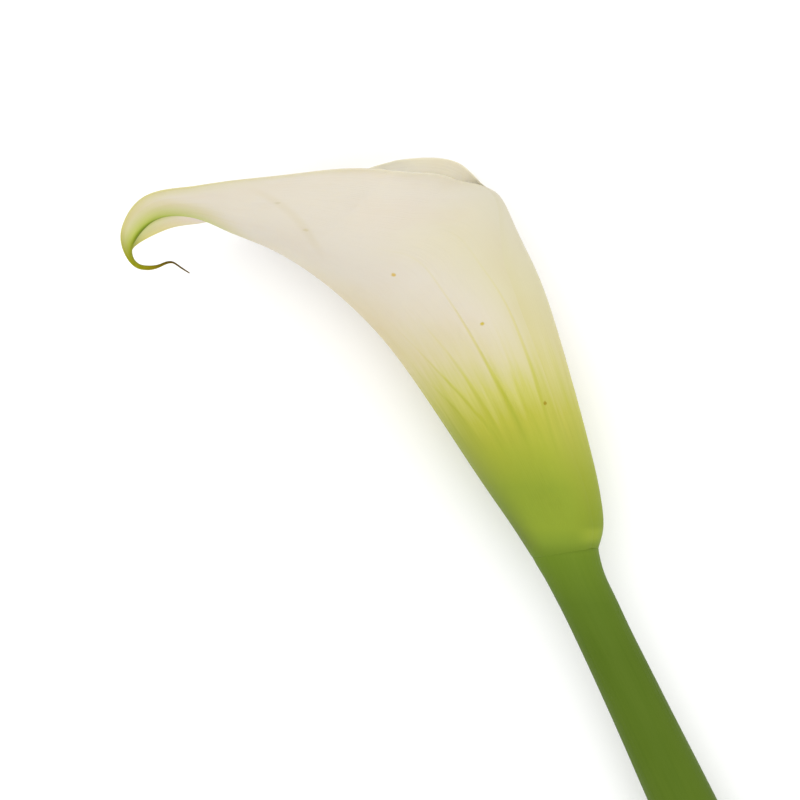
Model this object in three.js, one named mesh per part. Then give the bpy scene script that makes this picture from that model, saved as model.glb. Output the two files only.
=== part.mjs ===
// A cut calla lily lying on its side: a green stem, a white spathe rolled into a funnel with a curled tip,
// and the yellow spadix inside it. Millimetres, +Z up.
//
// The flower is laid out in its own frame, then laid down on the surface:
//   a  up the axis of the stem, from the neck where the spathe begins
//   b  towards the back of the flower, the side that the tip curls over
//   c  to the flower's upper side as it lies
// A station is a distance along the midrib, and u runs across the spathe from the lower margin (-1)
// over the midrib (0) to the upper margin (1). The lower side wraps over the upper side at the front.
import * as THREE from "three";

// ---------- how the flower lies ----------
const LIE_SLOPE = 3.1; // degrees that the stem's axis rises towards the bloom
const LIE_SHIFT = [37.93, -22.89, 19.7]; // puts the origin at the middle of the footprint, on the surface
const PRESS_BLEND = 1.2; // height over which the pressed flat spot runs out into the round flank

// ---------- spathe ----------
// Guide lines of the outer face, as [station, a, b].
const MIDRIB = [
  [6, 6, 9.3], [14, 13.8, 10.3], [24, 23.7, 11.9], [46, 45.4, 15], [58, 57.3, 16.8], [71, 70, 19.4],
  [84, 82.3, 23.6], [97, 93.8, 29.2], [109, 103.6, 36], [120, 111.6, 43.3], [126, 116, 47.1],
  [131, 119.2, 51.1], [135, 121, 55], [139, 121.3, 58.8], [143.5, 119.8, 63.2], [147, 117.7, 66],
  [150, 115.2, 66.9], [152, 113.5, 66.4], [155, 111.9, 64.3], [158, 111.1, 61.8], [160.5, 110.8, 59.4],
  [161.5, 110.3, 58.5], [163, 109, 57.6], [166, 105.95, 55.85],
];
// The front of the upper side: the foremost line of the tube, then the free margin of the limb.
const UPPER_FRONT = [
  [6, 0.1, -5.9], [9, 3.4, -8.5], [14, 10, -11.2], [24, 21, -13.9], [46, 45, -18.3], [58, 58, -20.3],
  [71, 71.5, -21.3], [79, 82.6, -21.3], [84, 90.6, -19.8], [88, 95, -16.2], [92, 98.6, -11.5],
  [97, 103, -4.6], [103, 107.4, 2.8], [109, 111.4, 11], [120, 117.9, 28], [126, 122, 38.6],
  [131, 124.9, 46.6], [135, 126.5, 52.6], [139, 127, 58.8], [143.5, 124.2, 64.9], [147, 120.1, 67.7],
  [150, 115.4, 67.8], [152, 113.2, 66.9], [155, 111.5, 64.5], [158, 110.9, 61.85], [160.5, 110.65, 59.45],
  [161.5, 110.2, 58.6], [163, 108.93, 57.7], [166, 105.9, 55.95],
];
// The front of the lower side, which is the outer wrap of the tube.
const LOWER_FRONT = [
  [6, -0.4, -7.2], [9, 3.4, -9.8], [14, 10, -12.5], [24, 21, -15.2], [46, 45, -19.6], [58, 58, -21.6],
  [71, 71.5, -22.6], [79, 82.6, -22.6], [84, 91, -21.7], [87, 94.8, -19.6], [92, 102.9, -17],
  [97, 109, -7.8], [103, 111.6, 3.2], [109, 112.6, 14.4], [120, 114.6, 33.4], [126, 115.6, 43.6],
  [131, 116.9, 49.8], [135, 118.3, 54.8], [139, 118.6, 60], [143.5, 118.2, 64.4], [147, 117.2, 66.7],
  [150, 115.1, 67.4], [152, 113.3, 66.7], [155, 111.5, 64.5], [158, 110.9, 61.85], [160.5, 110.65, 59.45],
  [161.5, 110.2, 58.6], [163, 108.93, 57.7], [166, 105.9, 55.95],
];
// Half width across the flower, [station, mm].
const HALF_WIDTH = [
  [6, 8], [9, 9.4], [14, 11.2], [24, 13.4], [46, 17.4], [71, 21.5], [84, 24.5], [97, 27.5], [109, 25.5],
  [120, 18], [131, 9.5], [139, 6], [147, 2.8], [152, 1.6], [155, 1.1], [160.5, 0.6], [166, 0.4],
];
// How far each side turns round from the midrib to its margin, [station, degrees].
const UPPER_WRAP = [
  [6, 196], [60, 196], [78, 190], [84, 178], [92, 150], [100, 125], [112, 105], [126, 90], [140, 70],
  [150, 50], [160.5, 30], [166, 30],
];
const LOWER_WRAP = [
  [6, 222], [30, 230], [60, 234], [74, 230], [80, 221], [84, 206], [88, 180], [93, 152], [100, 125],
  [112, 105], [126, 80], [140, 60], [150, 50], [160.5, 30], [166, 30],
];
// How far each margin rolls back outwards, [station, degrees].
const UPPER_ROLL = [[6, 0], [78, 0], [90, 25], [105, 45], [126, 30], [145, 10], [160.5, 0], [166, 0]];
const LOWER_ROLL = [[6, 10], [78, 10], [90, 25], [105, 45], [126, 30], [145, 10], [160.5, 0], [166, 0]];
const ROLL_POWER = 6; // keeps the roll close to the margin
const DROP_POWER = 1.5; // how late across the lower side its front leaves the upper side's height
const TUCK = 0.6; // how much narrower the upper side is where it lies inside the lower one
const TUCK_STATIONS = [78, 96]; // the tuck fades out between these
// Thickness, [station, mm at the midrib, mm at the margins].
const THICKNESS = [[6, 1.3, 0.8], [60, 1.2, 0.75], [110, 1, 0.7], [140, 0.8, 0.65], [166, 0.6, 0.6]];
// Rows of the mesh, as [from station, to station, count].
const ROWS = [
  [6, 14, 3], [14, 78, 9], [78, 96, 8], [96, 112, 5], [112, 132, 6], [132, 158, 12], [158, 163, 5],
  [163, 166, 1],
];
const UPPER_COLUMNS = 15;
const LOWER_COLUMNS = 18;
const ARC_STEPS = 180; // steps in which a cross-section's arc is added up

// ---------- stem ----------
// Centre line and radius, [a, b, c, radius], from the cut end to below the neck.
const STEM_LINE = [
  [-200, -3.2, 0, 8.9], [-165, -0.9, 0, 8.8], [-120, 0.9, 0, 8.6], [-65, 1.4, 0, 7.85], [-38, 1.35, 0, 7.05],
  [-20, 1.4, 0, 6.75],
];
const STEM_STEP = 9; // mm between rings
const CUT_SLANT = 3; // how far the cut end leans along the stem, mm each way
const NECK_RINGS = [ // [back a, back b, front a, front b, half width], up to the seam with the spathe
  [-10.5, 8.2, -12.4, -5.4, 6.8], [-5, 8.4, -7.6, -5.4, 6.95], [-0.5, 8.65, -4.2, -5.8, 7.25],
  [3, 9, -1.9, -6.5, 7.65], [5.7, 9.25, -0.7, -7.1, 7.95],
];
const SEAT_RINGS = [ // the narrower seat inside the spathe
  [4.5, 6.2, 0.8, -3.2, 4.9], [8, 6.3, 7, -3.2, 4.8], [11.7, 6.2, 11.7, -3, 4.6],
];
const STEM_SIDES = 24;

// ---------- spadix ----------
const SPADIX_FOOT = [12, 1.6, 0];
const SPADIX_TIP = [74, -1.4, 0];
const SPADIX_FOOT_RADIUS = 4.6;
const SPADIX_TIP_RADIUS = 3.3;
const FLORETS_AROUND = 8;
const FLORET_PITCH = 4; // mm between rows of florets
const FLORET_HEIGHT = 0.42;
const SPADIX_SIDES = 32;
const SPADIX_RINGS = 62;

const radians = THREE.MathUtils.degToRad;

// Natural cubic spline through rows of [x, ...values]: returns a function of x that gives the values.
function spline(rows) {
  const x = rows.map((r) => r[0]);
  const last = rows.length - 1;
  const gap = (i) => x[i + 1] - x[i];
  const bends = rows[0].slice(1).map((_, k) => {
    const y = rows.map((r) => r[k + 1]);
    const upper = [0];
    const right = [0];
    for (let i = 1; i < last; i++) {
      const pivot = 2 * (gap(i - 1) + gap(i)) - gap(i - 1) * upper[i - 1];
      const turn = 6 * ((y[i + 1] - y[i]) / gap(i) - (y[i] - y[i - 1]) / gap(i - 1));
      upper.push(gap(i) / pivot);
      right.push((turn - gap(i - 1) * right[i - 1]) / pivot);
    }
    const bend = new Array(last + 1).fill(0);
    for (let i = last - 1; i > 0; i--) bend[i] = right[i] - upper[i] * bend[i + 1];
    return bend;
  });
  return (at) => {
    let i = 0;
    while (i < last - 1 && at > x[i + 1]) i++;
    const h = gap(i);
    const d = at - x[i];
    const e = h - d;
    return bends.map((bend, k) => {
      const [y0, y1] = [rows[i][k + 1], rows[i + 1][k + 1]];
      const curved = (bend[i] * e ** 3 + bend[i + 1] * d ** 3) / (6 * h);
      return curved + (y0 / h - (bend[i] * h) / 6) * e + (y1 / h - (bend[i + 1] * h) / 6) * d;
    });
  };
}

// Cubic through [x, value] pairs that never overshoots them.
function ramp(rows) {
  const last = rows.length - 1;
  const step = (i) => rows[i + 1][0] - rows[i][0];
  const rise = (i) => (rows[i + 1][1] - rows[i][1]) / step(i);
  const slope = rows.map((_, i) => {
    if (i === 0) return rise(0);
    if (i === last) return rise(last - 1);
    if (rise(i - 1) * rise(i) <= 0) return 0;
    const [w1, w2] = [2 * step(i) + step(i - 1), step(i) + 2 * step(i - 1)];
    return (w1 + w2) / (w1 / rise(i - 1) + w2 / rise(i));
  });
  return (at) => {
    let i = 0;
    while (i < last - 1 && at > rows[i + 1][0]) i++;
    const h = step(i);
    const t = (at - rows[i][0]) / h;
    const [v0, v1] = [rows[i][1], rows[i + 1][1]];
    const held = (1 + 2 * t) * (1 - t) ** 2 * v0 + t * t * (3 - 2 * t) * v1;
    return held + t * (1 - t) ** 2 * h * slope[i] + t * t * (t - 1) * h * slope[i + 1];
  };
}

// One side of a cross-section as an arc of unit size: how far across and how far forward it is at each step.
function unitArc(wrap, roll) {
  const across = [0];
  const forward = [0];
  for (let k = 0; k < ARC_STEPS; k++) {
    const u = (k + 0.5) / ARC_STEPS;
    const heading = radians(wrap) * u - radians(roll) * u ** ROLL_POWER;
    across.push(across[k] + Math.cos(heading));
    forward.push(forward[k] + Math.sin(heading));
  }
  const widest = Math.max(...across);
  const foremost = Math.max(...forward);
  const read = (list, size) => (u) => {
    const k = Math.min(Math.floor(u * ARC_STEPS), ARC_STEPS - 1);
    return THREE.MathUtils.lerp(list[k], list[k + 1], u * ARC_STEPS - k) / size;
  };
  return { across: read(across, widest), forward: read(forward, foremost) };
}

const midrib = spline(MIDRIB);
const upperFront = spline(UPPER_FRONT);
const lowerFront = spline(LOWER_FRONT);
const halfWidth = ramp(HALF_WIDTH);
const upperWrap = ramp(UPPER_WRAP);
const lowerWrap = ramp(LOWER_WRAP);
const upperRoll = ramp(UPPER_ROLL);
const lowerRoll = ramp(LOWER_ROLL);
const ribThickness = ramp(THICKNESS.map(([s, rib]) => [s, rib]));
const rimThickness = ramp(THICKNESS.map(([s, , rim]) => [s, rim]));

// The outer face across one station, as a function of u.
function crossSection(station) {
  const rib = new THREE.Vector2(...midrib(station));
  const reach = new THREE.Vector2(...upperFront(station)).sub(rib);
  const drop = new THREE.Vector2(...lowerFront(station)).sub(rib).sub(reach);
  const width = halfWidth(station);
  const tuck = TUCK * (1 - THREE.MathUtils.smoothstep(station, ...TUCK_STATIONS));
  const upper = unitArc(upperWrap(station), upperRoll(station));
  const lower = unitArc(lowerWrap(station), lowerRoll(station));
  return (u) => {
    const side = u < 0 ? lower : upper;
    const forward = side.forward(Math.abs(u));
    const across = side.across(Math.abs(u)) * (u < 0 ? -width : width - tuck);
    const ab = rib.clone().addScaledVector(reach, forward);
    if (u < 0) ab.addScaledVector(drop, Math.sign(forward) * Math.abs(forward) ** DROP_POWER);
    return new THREE.Vector3(ab.x, ab.y, across);
  };
}

// From the flower's frame to where it lies.
const lie = new THREE.Matrix4()
  .makeTranslation(...LIE_SHIFT)
  .multiply(new THREE.Matrix4().makeRotationY(-radians(LIE_SLOPE)));

// Height of a soft face that rests on the surface: flat where it would sink in, and round above.
function pressed(z) {
  if (z <= -PRESS_BLEND) return 0;
  return z < PRESS_BLEND ? (z + PRESS_BLEND) ** 2 / (4 * PRESS_BLEND) : z;
}

// A closed solid between two grids of points with the same rows and columns.
function slab(outer, inner) {
  const rows = outer.length;
  const columns = outer[0].length;
  const points = [...outer.flat(), ...inner.flat()];
  const at = (layer, i, j) => (layer * rows + i) * columns + j;
  const faces = [];
  const quad = (p, q, r, s) => faces.push(p, q, r, p, r, s);
  for (let i = 0; i < rows - 1; i++) {
    for (let j = 0; j < columns - 1; j++) {
      quad(at(0, i, j), at(0, i, j + 1), at(0, i + 1, j + 1), at(0, i + 1, j));
      faces.push(at(1, i, j), at(1, i + 1, j + 1), at(1, i, j + 1));
      faces.push(at(1, i, j), at(1, i + 1, j), at(1, i + 1, j + 1));
    }
    quad(at(0, i, 0), at(0, i + 1, 0), at(1, i + 1, 0), at(1, i, 0));
    quad(at(0, i + 1, columns - 1), at(0, i, columns - 1), at(1, i, columns - 1), at(1, i + 1, columns - 1));
  }
  for (let j = 0; j < columns - 1; j++) {
    quad(at(0, 0, j + 1), at(0, 0, j), at(1, 0, j), at(1, 0, j + 1));
    quad(at(0, rows - 1, j), at(0, rows - 1, j + 1), at(1, rows - 1, j + 1), at(1, rows - 1, j));
  }
  return geometry(points, faces);
}

// A closed solid through rings of points, with a fan over each end.
function loft(rings) {
  const sides = rings[0].length;
  const points = rings.flat();
  const faces = [];
  for (let i = 0; i < rings.length - 1; i++) {
    for (let j = 0; j < sides; j++) {
      const [p, q] = [i * sides + j, i * sides + ((j + 1) % sides)];
      faces.push(p, q, q + sides, p, q + sides, p + sides);
    }
  }
  for (const [ring, turn] of [[0, 1], [rings.length - 1, 0]]) {
    const hub = points.length;
    const middle = new THREE.Vector3();
    rings[ring].forEach((p) => middle.addScaledVector(p, 1 / sides));
    points.push(middle);
    for (let j = 0; j < sides; j++) {
      const pair = [ring * sides + j, ring * sides + ((j + 1) % sides)];
      faces.push(hub, pair[turn], pair[1 - turn]);
    }
  }
  return geometry(points, faces);
}

function geometry(points, faces) {
  const made = new THREE.BufferGeometry().setFromPoints(points);
  made.setIndex(faces);
  made.computeVertexNormals();
  return made;
}

function spathe() {
  const stations = [ROWS[0][0]];
  for (const [from, to, count] of ROWS) {
    for (let k = 1; k <= count; k++) stations.push(THREE.MathUtils.lerp(from, to, k / count));
  }
  const across = [];
  for (let k = -LOWER_COLUMNS; k <= UPPER_COLUMNS; k++) {
    across.push(k < 0 ? k / LOWER_COLUMNS : k / UPPER_COLUMNS);
  }
  const outer = [];
  const inner = [];
  const nudge = 0.02; // step that the face's slopes are measured over
  for (const station of stations) {
    const here = crossSection(station);
    const ahead = crossSection(Math.min(station + nudge, stations.at(-1)));
    const behind = crossSection(Math.max(station - nudge, stations[0]));
    const rib = ribThickness(station);
    const rim = rimThickness(station);
    const outerRow = [];
    const innerRow = [];
    for (const u of across) {
      const along = ahead(u).sub(behind(u));
      const [u0, u1] = [Math.max(u - nudge, -1), Math.min(u + nudge, 1)];
      const inward = along.cross(here(u1).sub(here(u0))).normalize();
      const thickness = THREE.MathUtils.lerp(rib, rim, Math.sin(Math.min(Math.abs(u) * 2, 1) * Math.PI / 2));
      const face = here(u).applyMatrix4(lie);
      const back = here(u).addScaledVector(inward, thickness).applyMatrix4(lie);
      const lift = pressed(face.z) - face.z;
      face.z += lift;
      back.z += lift;
      outerRow.push(face);
      innerRow.push(back);
    }
    outer.push(outerRow);
    inner.push(innerRow);
  }
  return slab(outer, inner);
}

// An oval ring in the plane through its back and front points, wound for a loft that runs towards +a.
function ring([backA, backB, frontA, frontB, halfAcross], sides, swell = () => 1) {
  const middle = new THREE.Vector3((backA + frontA) / 2, (backB + frontB) / 2, 0);
  const arm = new THREE.Vector3(backA - frontA, backB - frontB, 0).multiplyScalar(0.5);
  return Array.from({ length: sides }, (_, j) => {
    const angle = (2 * Math.PI * j) / sides;
    const out = arm.clone().multiplyScalar(Math.cos(angle));
    out.z += halfAcross * Math.sin(angle);
    return out.multiplyScalar(swell(angle)).add(middle).applyMatrix4(lie);
  });
}

function stem() {
  const line = spline(STEM_LINE);
  const rings = [];
  const [foot, top] = [STEM_LINE[0][0], STEM_LINE.at(-1)[0]];
  const count = Math.round((top - foot) / STEM_STEP);
  for (let k = 0; k <= count; k++) {
    const a = THREE.MathUtils.lerp(foot, top, k / count);
    const [b, , radius] = line(a);
    const lean = k === 0 ? CUT_SLANT : 0;
    rings.push(ring([a + lean, b + radius, a - lean, b - radius, radius], STEM_SIDES));
  }
  for (const row of [...NECK_RINGS, ...SEAT_RINGS]) rings.push(ring(row, STEM_SIDES));
  return loft(rings);
}

function spadix() {
  const foot = new THREE.Vector3(...SPADIX_FOOT);
  const axis = new THREE.Vector3(...SPADIX_TIP).sub(foot);
  const length = axis.length();
  const rings = [];
  for (let k = 0; k <= SPADIX_RINGS; k++) {
    const along = (length * k) / SPADIX_RINGS;
    const radius = THREE.MathUtils.lerp(SPADIX_FOOT_RADIUS, SPADIX_TIP_RADIUS, k / SPADIX_RINGS);
    const toTip = Math.min((length - along) / SPADIX_TIP_RADIUS, 1);
    const round = Math.max(Math.sqrt(1 - (1 - toTip) ** 2), 0.16);
    const middle = foot.clone().addScaledVector(axis, k / SPADIX_RINGS);
    const r = radius * round;
    const row = [middle.x, middle.y + r, middle.x, middle.y - r, r];
    const beat = Math.cos((2 * Math.PI * along) / FLORET_PITCH) * (FLORET_HEIGHT / radius) * round;
    rings.push(ring(row, SPADIX_SIDES, (angle) => 1 + beat * Math.cos(FLORETS_AROUND * angle)));
  }
  return loft(rings);
}

function piece(name, shape, look) {
  const made = new THREE.Mesh(shape, new THREE.MeshStandardMaterial(look));
  made.name = name;
  return made;
}

const flower = new THREE.Group();
flower.add(
  piece("stem", stem(), { color: 0x5e762a, roughness: 0.5, metalness: 0 }),
  piece("spathe", spathe(), { color: 0xece4cf, roughness: 0.55, metalness: 0, side: THREE.DoubleSide }),
  piece("spadix", spadix(), { color: 0xe2b21c, roughness: 0.8, metalness: 0 }),
);
export default flower;
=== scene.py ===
"""A cut calla lily lying on a pale floor: its stem, its spathe and the spadix inside.

Each of the three is a fine mesh that replaces its CAD solid. Lengths are in millimetres in the flower's own
frame, until it is laid down:
  a  up the axis of the stem, from the neck where the spathe begins
  b  towards the back of the flower, the side that the tip curls over
  c  to the flower's upper side as it lies
A station is a distance along the midrib, and u runs across the spathe from the lower margin (-1) over the
midrib (0) to the upper margin (1). The lower side wraps over the upper side at the front.
"""

import math

import bpy
import numpy as np
from mathutils import Matrix, Vector


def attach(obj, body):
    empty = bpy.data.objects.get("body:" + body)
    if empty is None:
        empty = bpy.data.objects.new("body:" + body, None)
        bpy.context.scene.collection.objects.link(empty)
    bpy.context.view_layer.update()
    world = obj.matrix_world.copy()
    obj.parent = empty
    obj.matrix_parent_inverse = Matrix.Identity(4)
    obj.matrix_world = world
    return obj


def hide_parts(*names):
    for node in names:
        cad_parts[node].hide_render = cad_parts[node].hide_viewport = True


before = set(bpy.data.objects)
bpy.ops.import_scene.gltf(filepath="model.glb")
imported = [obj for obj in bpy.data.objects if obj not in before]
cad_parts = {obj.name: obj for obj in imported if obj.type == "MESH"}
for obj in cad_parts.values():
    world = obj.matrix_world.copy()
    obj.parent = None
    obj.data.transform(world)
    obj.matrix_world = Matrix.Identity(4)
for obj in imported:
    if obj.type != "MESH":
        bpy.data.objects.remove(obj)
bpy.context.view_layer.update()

MM = 0.001

# ---------- how the flower lies ----------
LIE_SLOPE = math.radians(3.1)
LIE_SHIFT = (37.93, -22.89, 19.7)
PRESS_BLEND = 1.2  # height over which the pressed flat spot runs out into the round flank

# ---------- spathe: guide lines of the outer face, as (station, a, b) ----------
MIDRIB = (
    (6, 6, 9.3), (14, 13.8, 10.3), (24, 23.7, 11.9), (46, 45.4, 15), (58, 57.3, 16.8), (71, 70, 19.4),
    (84, 82.3, 23.6), (97, 93.8, 29.2), (109, 103.6, 36), (120, 111.6, 43.3), (126, 116, 47.1),
    (131, 119.2, 51.1), (135, 121, 55), (139, 121.3, 58.8), (143.5, 119.8, 63.2), (147, 117.7, 66),
    (150, 115.2, 66.9), (152, 113.5, 66.4), (155, 111.9, 64.3), (158, 111.1, 61.8), (160.5, 110.8, 59.4),
    (161.5, 110.3, 58.5), (163, 109, 57.6), (166, 105.95, 55.85),
)
# The front line of each side of the spathe. Both share its end at the tip.
TIP_FRONT = (
    (155, 111, 64.7), (158, 110.5, 62), (160.5, 110.35, 59.5), (161.5, 109.95, 58.6), (163, 108.7, 57.75),
    (166, 105.75, 56),
)
UPPER_FRONT = (
    (6, 0.7, -6.1), (9, 3.4, -8.5), (14, 10, -11.2), (24, 21, -13.9), (46, 45, -18.3), (58, 58, -20.3),
    (71, 71.5, -21.3), (79, 82.6, -21.3), (84, 91, -20.4), (88, 94.9, -16.2), (92, 99.2, -11.8),
    (97, 103, -4.6), (103, 107.4, 2.8), (109, 111.4, 11), (120, 117.9, 28), (126, 121.9, 38.6),
    (131, 124.6, 46.7), (135, 126.7, 52.6), (139, 127.3, 58.8), (143.5, 124.2, 65), (147, 120, 67.9),
    (150, 115.2, 68.1), (152, 112.8, 67.2), *TIP_FRONT,
)
LOWER_FRONT = (
    (6, 0.3, -7.25), (9, 3.4, -9.8), (14, 10, -12.5), (24, 21, -15.2), (46, 45, -19.6), (58, 58, -21.6),
    (71, 71.5, -22.6), (79, 82.6, -22.6), (84, 91.3, -22), (87, 95, -19.9), (92, 102.9, -17),
    (97, 109, -7.8), (103, 111.6, 3.2), (109, 112.6, 14.4), (120, 114.6, 33.4), (126, 115.6, 43.6),
    (131, 116.9, 49.8), (135, 118.3, 54.8), (139, 118.6, 60), (143.5, 118.2, 64.4), (147, 117.2, 66.7),
    (150, 114.9, 67.7), (152, 112.9, 67), *TIP_FRONT,
)
# Half the width of the rolled spathe along c, as (station, mm).
HALF_WIDTH = (
    (6, 8), (9, 9.4), (14, 11.2), (24, 13.4), (46, 17.4), (71, 21.5), (84, 24.5), (97, 27.5), (109, 25.5),
    (120, 18), (131, 9.5), (139, 6), (147, 2.8), (152, 1.6), (155, 1.1), (160.5, 0.6), (166, 0.4),
)
# Degrees that a side wraps round from the midrib, and rolls back out at its margin, as (station, degrees).
UPPER_WRAP = (
    (6, 196), (60, 196), (78, 190), (84, 178), (92, 150), (100, 125), (112, 105), (126, 90), (140, 70),
    (150, 50), (160.5, 30), (166, 30),
)
LOWER_WRAP = (
    (6, 222), (30, 230), (60, 234), (72, 230), (78, 219), (83, 200), (88, 178), (93, 152), (100, 125),
    (112, 105), (126, 80), (140, 60), (150, 50), (160.5, 30), (166, 30),
)
UPPER_ROLL = ((6, 0), (80, 0), (90, 25), (105, 45), (126, 30), (145, 10), (160.5, 0), (166, 0))
LOWER_ROLL = ((6, 0), (84, 0), (87, 8), (90, 25), (105, 45), (126, 30), (145, 10), (160.5, 0), (166, 0))
ROLL_POWER = 6  # the higher it is, the closer to its margin a side begins to roll back
DROP_POWER = 1.5  # the same for where a side leaves the upper front line for the lower one
TUCK = 0.6  # mm by which the upper side is narrower where the lower side covers it
TUCK_STATIONS = (78, 96)  # stations over which that fades out
FLUSH_STATIONS = (83, 91)  # the tube's two layers lie flush up to these, and part above them
COVER_BLEND = (-12, 36)  # degrees round the upper side, from the lower margin, over which it dips under
NORMAL_NUDGE = 0.02  # step in mm and in u to each side, for the normals
# Thickness of the skin, as (station, mm), at the midrib and at the margins.
RIB_THICKNESS = ((3.6, 1.1), (60, 1), (110, 0.85), (140, 0.7), (158, 0.45), (163, 0.3), (166, 0.12))
RIM_THICKNESS = ((3.6, 0.6), (60, 0.5), (110, 0.45), (140, 0.42), (158, 0.36), (163, 0.26), (166, 0.1))
WRAP_THINNING = 0.7  # share of its thickness that the margin loses where it lies on the tube
WRAP_THIN_BLEND = (0.8, 0.985)  # shares of the lower side over which it thins
# How far the lying margin and the base of the skin settle into what they lie on, as (station, mm).
MARGIN_SINK = ((3.6, 0.2), (80, 0.2), (84.5, 0.7), (86.2, 0.55), (88.5, 0), (166, 0))
MARGIN_SINK_FROM = 0.88  # share of the lower side where its margin begins to settle
BASE_SINK = ((3.6, 0.6), (5.4, 0), (166, 0))
# Where the skin lies on skin or on the stem, no light soaks in: degrees round the upper side, from the
# lower margin, shares of the lower side, and stations.
SOAK_UPPER = (-45, -18)
SOAK_LOWER = (0.8, 0.9)
SOAK_BASE = (10, 20)
RIM_ROUND = 0.006  # share of a side over which the skin rounds off to its margin
RIM_BLUNTNESS = 0.98  # how far that goes, so that the margin keeps some thickness
RIM_COLUMNS = 5
# Rows of the mesh, as (from station, to station, count).
ROWS = (
    (3.6, 6, 6), (6, 14, 10), (14, 78, 54), (78, 96, 38), (96, 112, 28), (112, 132, 28), (132, 158, 44),
    (158, 163, 12), (163, 166, 6),
)
UPPER_COLUMNS = 80
LOWER_COLUMNS = 94
ARC_STEPS = 720  # steps along the arc that shapes a side's cross-section

# ---------- stem ----------
# Centre line and radius, as (a, b, radius).
STEM_LINE = (
    (-200, -3.2, 8.9), (-165, -0.9, 8.8), (-120, 0.9, 8.6), (-65, 1.4, 7.85), (-38, 1.35, 7.05),
    (-20, 1.4, 6.75),
)
STEM_KEYS = 16  # rings that the stem's skin is drawn through
STEM_STEP = 1.2  # mm between rings
CUT_SLANT = 3  # how far the cut end leans along the stem, mm each way
CUT_LEAN_LENGTH = 9  # mm of stem over which that lean runs out
CUT_HOLLOW = 0.7  # depth by which the pith has drawn back from the rim of the cut
CUT_HOLLOW_POWER = 4  # the higher it is, the flatter the floor of the hollow
CUT_RINGS = 26
# (back a, back b, front a, front b, half width), up to the seam with the spathe
NECK_RINGS = (
    (-10.5, 8.2, -12.4, -5.4, 6.8), (-5, 8.4, -7.6, -5.4, 6.95), (-0.5, 8.65, -4.2, -5.8, 7.25),
    (3, 9, -1.5, -6.4, 7.65), (5.7, 9.1, 0, -6.85, 7.8),
)
# The same for the narrower seat inside the spathe's base.
SEAT_RINGS = (
    (5.75, 8.6, 0.3, -6.4, 7.3), (5.4, 7.2, 0.6, -4.6, 5.9), (5.2, 6.5, 1, -3.6, 5.1), (8, 6.3, 7, -3.2, 4.8),
    (11.7, 6.2, 11.7, -3, 4.6),
)
STEM_SIDES = 168

# ---------- spadix ----------
# Its ends as (a, b).
SPADIX_FOOT = (12, 1.6)
SPADIX_TIP = (74, -1.4)
SPADIX_FOOT_RADIUS = 4.6
SPADIX_TIP_RADIUS = 3.3
SPADIX_SIDES = 216
SPADIX_RINGS = 420
SPADIX_BLUNTNESS = 0.04  # part of its radius that is left at the very tip
PISTIL_ZONE = 14  # mm from the foot up to which the florets are pistils. Above it they are stamens.
PISTIL_BLEND = 0.6  # mm to each side of that over which they change
# (florets around, mm between their rows, relief in mm)
PISTILS = (13, 1.75, 0.55)
STAMENS = (19, 1.12, 0.42)
FLORET_REACH = 0.62  # radius of a floret's dome, in its own spacing
FLORET_SINK = 0.3  # mm that the seams between the florets lie inside the spike's radius
FLORET_JITTER = 0.16  # how far a floret strays, in its own spacing
JITTER_TABLE = (97, 41)  # rows and columns after which the strays repeat
SEED = 7

# ---------- colours of the spathe ----------
# Stops are (place, sRGB colour as it looks in this light). Tints are factors on red, green and blue.
# A blend is the pair of places between which something sets in, or fades out where it says so, and a span
# is both pairs, in stations. A mark is (from value, to value, how strong a tint is at each, and the tint).
MAP_MM = 200.0  # length that one unit of a UV map stands for
# Along the height above the neck, in mm: on the flank, at the back, at the front, and inside. The back's
# darker, warmer stops are partly painted shade, and the paler ones inside are painted light.
FLANK_STOPS = (
    (0, (114, 138, 46)), (4.6, (133, 155, 50)), (8, (145, 164, 52)), (18, (150, 167, 55)),
    (27, (171, 180, 62)), (35, (190, 190, 74)), (42, (208, 204, 112)), (50, (222, 213, 169)),
    (60, (227, 218, 197)), (70, (227, 220, 206)),
)
# The back: partly the midrib's own tone, partly painted shade where the back turns away from the light.
BACK_TONE_AND_SHADE_STOPS = (
    (0, (104, 122, 44)), (14, (122, 140, 52)), (31, (163, 170, 76)), (39, (195, 192, 104)),
    (48, (220, 209, 157)), (58, (226, 212, 173)), (76, (231, 222, 201)),
)
FRONT_STOPS = (
    (0, (114, 138, 46)), (4.6, (135, 156, 50)), (11, (144, 161, 50)), (21, (161, 172, 60)),
    (37, (196, 195, 88)), (48, (216, 209, 138)), (55, (221, 213, 160)), (84, (225, 218, 192)),
)
# Inside: paler stops, painted light that makes up for the shade within the funnel.
INSIDE_PAINTED_LIGHT_STOPS = (
    (0, (168, 186, 80)), (14, (188, 200, 92)), (27, (216, 219, 122)), (40, (240, 236, 170)),
    (54, (248, 243, 208)), (70, (252, 247, 227)), (100, (247, 240, 223)),
)
UPPER_BLEND = (0.49, 0.51)  # of the map across the spathe, from its lower side to its upper side
FLANK_BLEND = (0.05, 0.32)  # shares of a side, from the back's colours to the flank's
# Shares of a side, from the flank's colours to the front's. The upper side's first falls with the height.
LOWER_FRONT_BLEND = (0.46, 0.86)
UPPER_FRONT_START = (54, 80, 0.5, 0.3)  # from height, to height, and the share at each
UPPER_FRONT_END = 0.7
FRONT_FADE = (80, 93)  # stations over which the front's own colours fade out
NECK_BLEND = (0.8, 4.8)  # heights over which the spathe takes over from the stem's green
# Painted highlight: a paler patch where the wrapped front meets the stem, fading out away from its middle.
FOLD_PAINTED_HIGHLIGHT = (1.3, 1.22, 1.28)
FOLD_HEIGHT = 6.2
FOLD_C = 6.2
FOLD_FADE_HEIGHT = (0.5, 2.6)
FOLD_FADE_C = (1, 6)
FOLD_SIDE_BLEND = (0.5, 0.7)

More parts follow.
